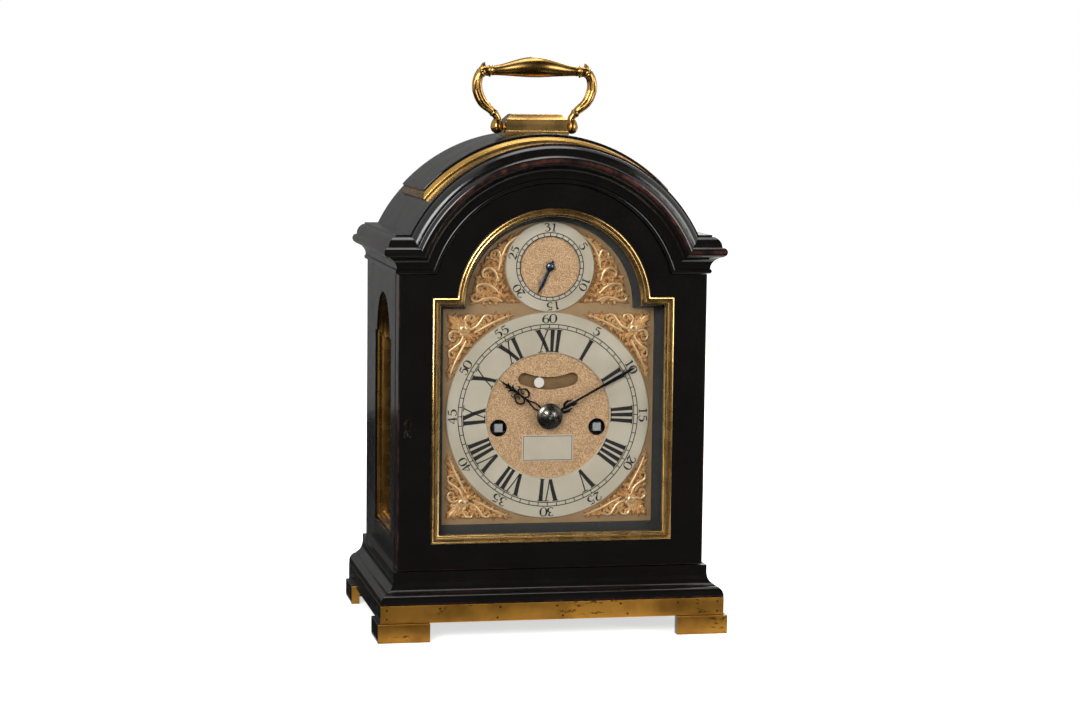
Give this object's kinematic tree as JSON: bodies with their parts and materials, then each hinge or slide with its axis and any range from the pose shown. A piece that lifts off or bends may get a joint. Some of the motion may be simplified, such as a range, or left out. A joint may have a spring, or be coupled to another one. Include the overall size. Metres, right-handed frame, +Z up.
{
  "type": "bracket clock",
  "caption": "Ebonised break-arch bracket clock with brass mounts, arched dial, strike train, bail handle and opening doors.",
  "frame": {"origin": "on the surface under the feet, below the middle of the clock's outline", "axes": "+X to the viewer's right, +Y to the back, +Z up; the dial faces -Y"},
  "size_m": [0.2468, 0.172, 0.4004],
  "materials": {
    "ebonised_wood": "black stained and French polished, worn at the edges",
    "mask_wood": "blue-black satin paint on wood",
    "oak": "planed",
    "polished_brass": "polished and lacquered",
    "toned_brass": "dulled, with fine pits",
    "dial_brass": "finely matted and gilt",
    "gilt_cast": "cast, chased and gilt",
    "silvered_brass": "matt silvered, fine grained",
    "dark_steel": "polished dark steel",
    "blued_steel": "blued",
    "movement_brass": "planed and lacquered",
    "steel": "bright",
    "bell_metal": "turned bronze",
    "glass": "clear, slightly uneven",
    "gut": "twisted gut"
  },
  "bodies": {
    "case": {"bracket_feet": "ebonised_wood", "base_facings": "toned_brass", "base_board": "ebonised_wood", "plinth_moulding": "ebonised_wood", "side_panel_left": "ebonised_wood", "side_panel_right": "ebonised_wood", "window_linings": "polished_brass", "side_glasses": "glass", "roof_shell": "ebonised_wood", "cornice_mouldings": "ebonised_wood", "arch_moulding": "ebonised_wood", "pad_moulding": "polished_brass", "roof_pad": "ebonised_wood", "handle_base": "polished_brass", "back_frame": "ebonised_wood", "seat_board": "oak", "hinge_pins": "steel", "dial_mask": "mask_wood", "dial_plate": "dial_brass", "chapter_ring": "silvered_brass", "calendar_ring": "silvered_brass", "dial_spandrels": "gilt_cast", "name_plate": "silvered_brass", "winding_collets": "dark_steel", "front_plate": "movement_brass", "back_plate": "movement_brass", "plate_pillars": "movement_brass", "bell": "bell_metal", "bell_stand": "steel", "gut_lines": "gut"},
    "front_door": {"door_frame": "ebonised_wood", "door_bezel": "polished_brass", "door_glass": "glass", "keyhole_escutcheon": "polished_brass"},
    "door_bolt": {"lock_bolt": "steel"},
    "back_door": {"back_door_frame": "ebonised_wood", "back_door_glass": "glass"},
    "handle": {"bail_handle": "polished_brass"},
    "minute": {"minute_hand": "blued_steel", "hand_boss": "dark_steel", "cannon_pinion": "movement_brass"},
    "hour": {"hour_hand": "blued_steel", "hour_wheel": "movement_brass"},
    "motion_wheel": {"minute_wheel": "movement_brass"},
    "calendar": {"calendar_hand": "blued_steel", "calendar_star": "movement_brass"},
    "going_great": {"going_fusee": "movement_brass"},
    "going_spring": {"going_barrel": "movement_brass"},
    "centre_arbor": {"centre_wheel": "movement_brass"},
    "third_arbor": {"third_wheel": "movement_brass"},
    "escape_arbor": {"escape_wheel": "movement_brass"},
    "strike_great": {"strike_fusee": "movement_brass"},
    "strike_spring": {"strike_barrel": "movement_brass"},
    "pin_arbor": {"pin_wheel": "movement_brass"},
    "hoop_arbor": {"hoop_wheel": "movement_brass"},
    "fly_arbor": {"fly": "movement_brass"},
    "swinging": {"pallets": "steel", "mock_bob": "silvered_brass", "pendulum": "movement_brass"},
    "hammer_arbor": {"hammer": "steel"}
  },
  "joints": [
    {"name": "front_door_swing", "type": "hinge", "parent": "case", "child": "front_door", "pos_m": [0.1054, -0.06805, 0.1515], "axis": [0, 0, 1], "range_deg": [0, 105]},
    {"name": "lock_bolt_slide", "type": "slide", "parent": "front_door", "child": "door_bolt", "axis": [0, 0, 1], "range_m": [0, 0.004]},
    {"name": "back_door_swing", "type": "hinge", "parent": "case", "child": "back_door", "pos_m": [0.0755, 0.08355, 0.1515], "axis": [0, 0, 1], "range_deg": [-90, 0]},
    {"name": "handle_swing", "type": "hinge", "parent": "case", "child": "handle", "pos_m": [0, 0.00695, 0.3505], "axis": [1, 0, 0], "range_deg": [-83, 83]},
    {"name": "minute_hand_turn", "type": "hinge", "parent": "case", "child": "minute", "pos_m": [0, -0.01105, 0.1515], "axis": [0, 1, 0], "continuous": true},
    {"name": "hour_hand_turn", "type": "hinge", "parent": "case", "child": "hour", "pos_m": [0, -0.01105, 0.1515], "axis": [0, 1, 0], "continuous": true},
    {"name": "minute_wheel_turn", "type": "hinge", "parent": "case", "child": "motion_wheel", "pos_m": [0, -0.01105, 0.1275], "axis": [0, 1, 0], "continuous": true},
    {"name": "calendar_hand_turn", "type": "hinge", "parent": "case", "child": "calendar", "pos_m": [0, -0.01105, 0.2554], "axis": [0, 1, 0], "continuous": true},
    {"name": "third_wheel_turn", "type": "hinge", "parent": "case", "child": "third_arbor", "pos_m": [0.00547, -0.01105, 0.17825], "axis": [0, 1, 0], "continuous": true},
    {"name": "centre_wheel_turn", "type": "hinge", "parent": "case", "child": "centre_arbor", "pos_m": [0, -0.01105, 0.1515], "axis": [0, 1, 0], "continuous": true},
    {"name": "going_fusee_turn", "type": "hinge", "parent": "case", "child": "going_great", "pos_m": [0.035, -0.01105, 0.1431], "axis": [0, 1, 0], "continuous": true},
    {"name": "going_barrel_turn", "type": "hinge", "parent": "case", "child": "going_spring", "pos_m": [0.038, -0.01105, 0.098], "axis": [0, 1, 0], "continuous": true},
    {"name": "escape_wheel_turn", "type": "hinge", "parent": "case", "child": "escape_arbor", "pos_m": [0, -0.01105, 0.2022], "axis": [0, 1, 0], "continuous": true},
    {"name": "hoop_wheel_turn", "type": "hinge", "parent": "case", "child": "hoop_arbor", "pos_m": [-0.03698, -0.01105, 0.18959], "axis": [0, 1, 0], "continuous": true},
    {"name": "pin_wheel_turn", "type": "hinge", "parent": "case", "child": "pin_arbor", "pos_m": [-0.03974, -0.01105, 0.16998], "axis": [0, 1, 0], "continuous": true},
    {"name": "strike_fusee_turn", "type": "hinge", "parent": "case", "child": "strike_great", "pos_m": [-0.035, -0.01105, 0.1431], "axis": [0, 1, 0], "continuous": true},
    {"name": "strike_barrel_turn", "type": "hinge", "parent": "case", "child": "strike_spring", "pos_m": [-0.038, -0.01105, 0.098], "axis": [0, 1, 0], "continuous": true},
    {"name": "fly_turn", "type": "hinge", "parent": "case", "child": "fly_arbor", "pos_m": [-0.02514, -0.01105, 0.20144], "axis": [0, 1, 0], "continuous": true},
    {"name": "pendulum_swing", "type": "hinge", "parent": "case", "child": "swinging", "pos_m": [0, -0.01105, 0.222], "axis": [0, 1, 0], "range_deg": [-5, 5]},
    {"name": "hammer_lift", "type": "hinge", "parent": "case", "child": "hammer_arbor", "pos_m": [-0.062, -0.01105, 0.196], "axis": [0, -1, 0], "range_deg": [0, 12], "stiffness_Nm_per_rad": 0.05, "springref_deg": -2.86}
  ],
  "couplings": [
    {"joint": "hour_hand_turn", "follows": "minute_hand_turn", "ratio": 0.083333},
    {"joint": "minute_wheel_turn", "follows": "minute_hand_turn", "ratio": -0.33333},
    {"joint": "calendar_hand_turn", "follows": "minute_hand_turn", "ratio": 0.0013441},
    {"joint": "centre_wheel_turn", "follows": "third_wheel_turn", "ratio": -0.083333},
    {"joint": "going_fusee_turn", "follows": "third_wheel_turn", "ratio": 0.0069444},
    {"joint": "going_barrel_turn", "follows": "third_wheel_turn", "ratio": 0.0047348},
    {"joint": "escape_wheel_turn", "follows": "third_wheel_turn", "ratio": -12},
    {"joint": "pin_wheel_turn", "follows": "hoop_wheel_turn", "ratio": -0.125},
    {"joint": "strike_fusee_turn", "follows": "hoop_wheel_turn", "ratio": 0.010417},
    {"joint": "strike_barrel_turn", "follows": "hoop_wheel_turn", "ratio": 0.0071023},
    {"joint": "fly_turn", "follows": "hoop_wheel_turn", "ratio": -8.5714}
  ]
}
